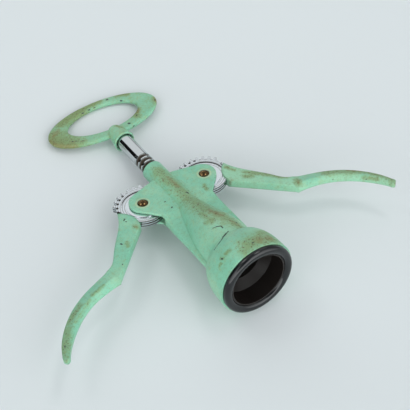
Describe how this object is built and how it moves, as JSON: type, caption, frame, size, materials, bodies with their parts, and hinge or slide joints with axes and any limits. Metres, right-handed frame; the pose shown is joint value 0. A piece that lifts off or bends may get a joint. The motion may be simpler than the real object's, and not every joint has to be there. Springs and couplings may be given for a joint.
{
  "type": "corkscrew",
  "caption": "Twin-lever corkscrew: ring handle on a toothed tube, geared lever arms either side of a painted frame, and a bell with a plastic rim that sits on a bottle neck.",
  "frame": {"origin": "centre of the bottle socket's mouth, on the screw axis", "axes": "+Y along the screw axis from the socket towards the ring handle, +X towards the right lever, +Z out of the front"},
  "size_m": [0.2058, 0.1862, 0.043],
  "materials": {
    "green_paint": "worn satin paint on a zinc casting",
    "black_plastic": "gloss",
    "chrome": "polished, a little worn",
    "steel": "turned",
    "brass": "tarnished"
  },
  "bodies": {
    "frame": {"frame": "green_paint", "bell_ring": "black_plastic", "guide_cup": "black_plastic", "right_rivet": "brass", "left_rivet": "brass"},
    "rack": {"rack_tube": "chrome"},
    "screw": {"ring_handle": "green_paint", "socket_washer": "steel", "spindle": "steel", "worm": "chrome"},
    "right_lever": {"right_gear_head": "chrome", "right_lever_arm": "green_paint"},
    "left_lever": {"left_gear_head": "chrome", "left_lever_arm": "green_paint"}
  },
  "joints": [
    {"name": "rack_slide", "type": "slide", "parent": "frame", "child": "rack", "axis": [0, 1, 0], "range_m": [-0.029, 0.012]},
    {"name": "screw_turn", "type": "hinge", "parent": "rack", "child": "screw", "pos_m": [0, 0.11, 0], "axis": [0, 1, 0], "continuous": true},
    {"name": "right_lever_hinge", "type": "hinge", "parent": "frame", "child": "right_lever", "pos_m": [0.0202, 0.081, 0], "axis": [0, 0, 1], "range_deg": [-42.2, 101.9]},
    {"name": "left_lever_hinge", "type": "hinge", "parent": "frame", "child": "left_lever", "pos_m": [-0.0202, 0.081, 0], "axis": [0, 0, 1], "range_deg": [-101.9, 42.2]}
  ],
  "couplings": [
    {"joint": "right_lever_hinge", "follows": "rack_slide", "rad_per_m": -61.24},
    {"joint": "left_lever_hinge", "follows": "rack_slide", "rad_per_m": 61.24}
  ]
}
